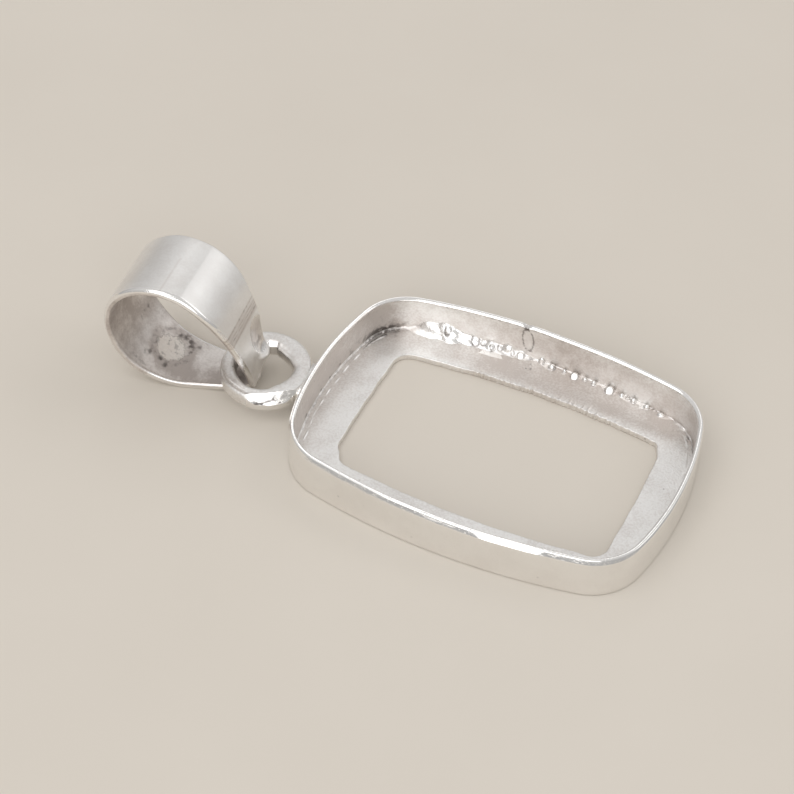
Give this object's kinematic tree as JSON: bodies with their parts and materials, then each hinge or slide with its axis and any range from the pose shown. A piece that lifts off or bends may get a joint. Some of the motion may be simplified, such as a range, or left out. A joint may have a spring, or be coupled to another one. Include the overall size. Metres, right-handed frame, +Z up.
{
  "type": "bezel cup pendant mount",
  "caption": "Open-backed cushion-shaped bezel cup in silver with a soldered jump ring and a folded leaf-shaped bail.",
  "frame": {"origin": "middle of the footprint of the whole piece, on the surface that it lies on", "axes": "+X from the bail to the far end of the cup, +Y across the cup, +Z up out of the open cup"},
  "size_m": [0.0286, 0.0134, 0.0066],
  "materials": {
    "silver": "satin sterling silver with a filed, polished rim",
    "bail_silver": "satin sterling silver with bright edges and a little fire stain inside"
  },
  "bodies": {
    "root": {"bezel_cup": "silver", "bail": "bail_silver"}
  },
  "joints": []
}
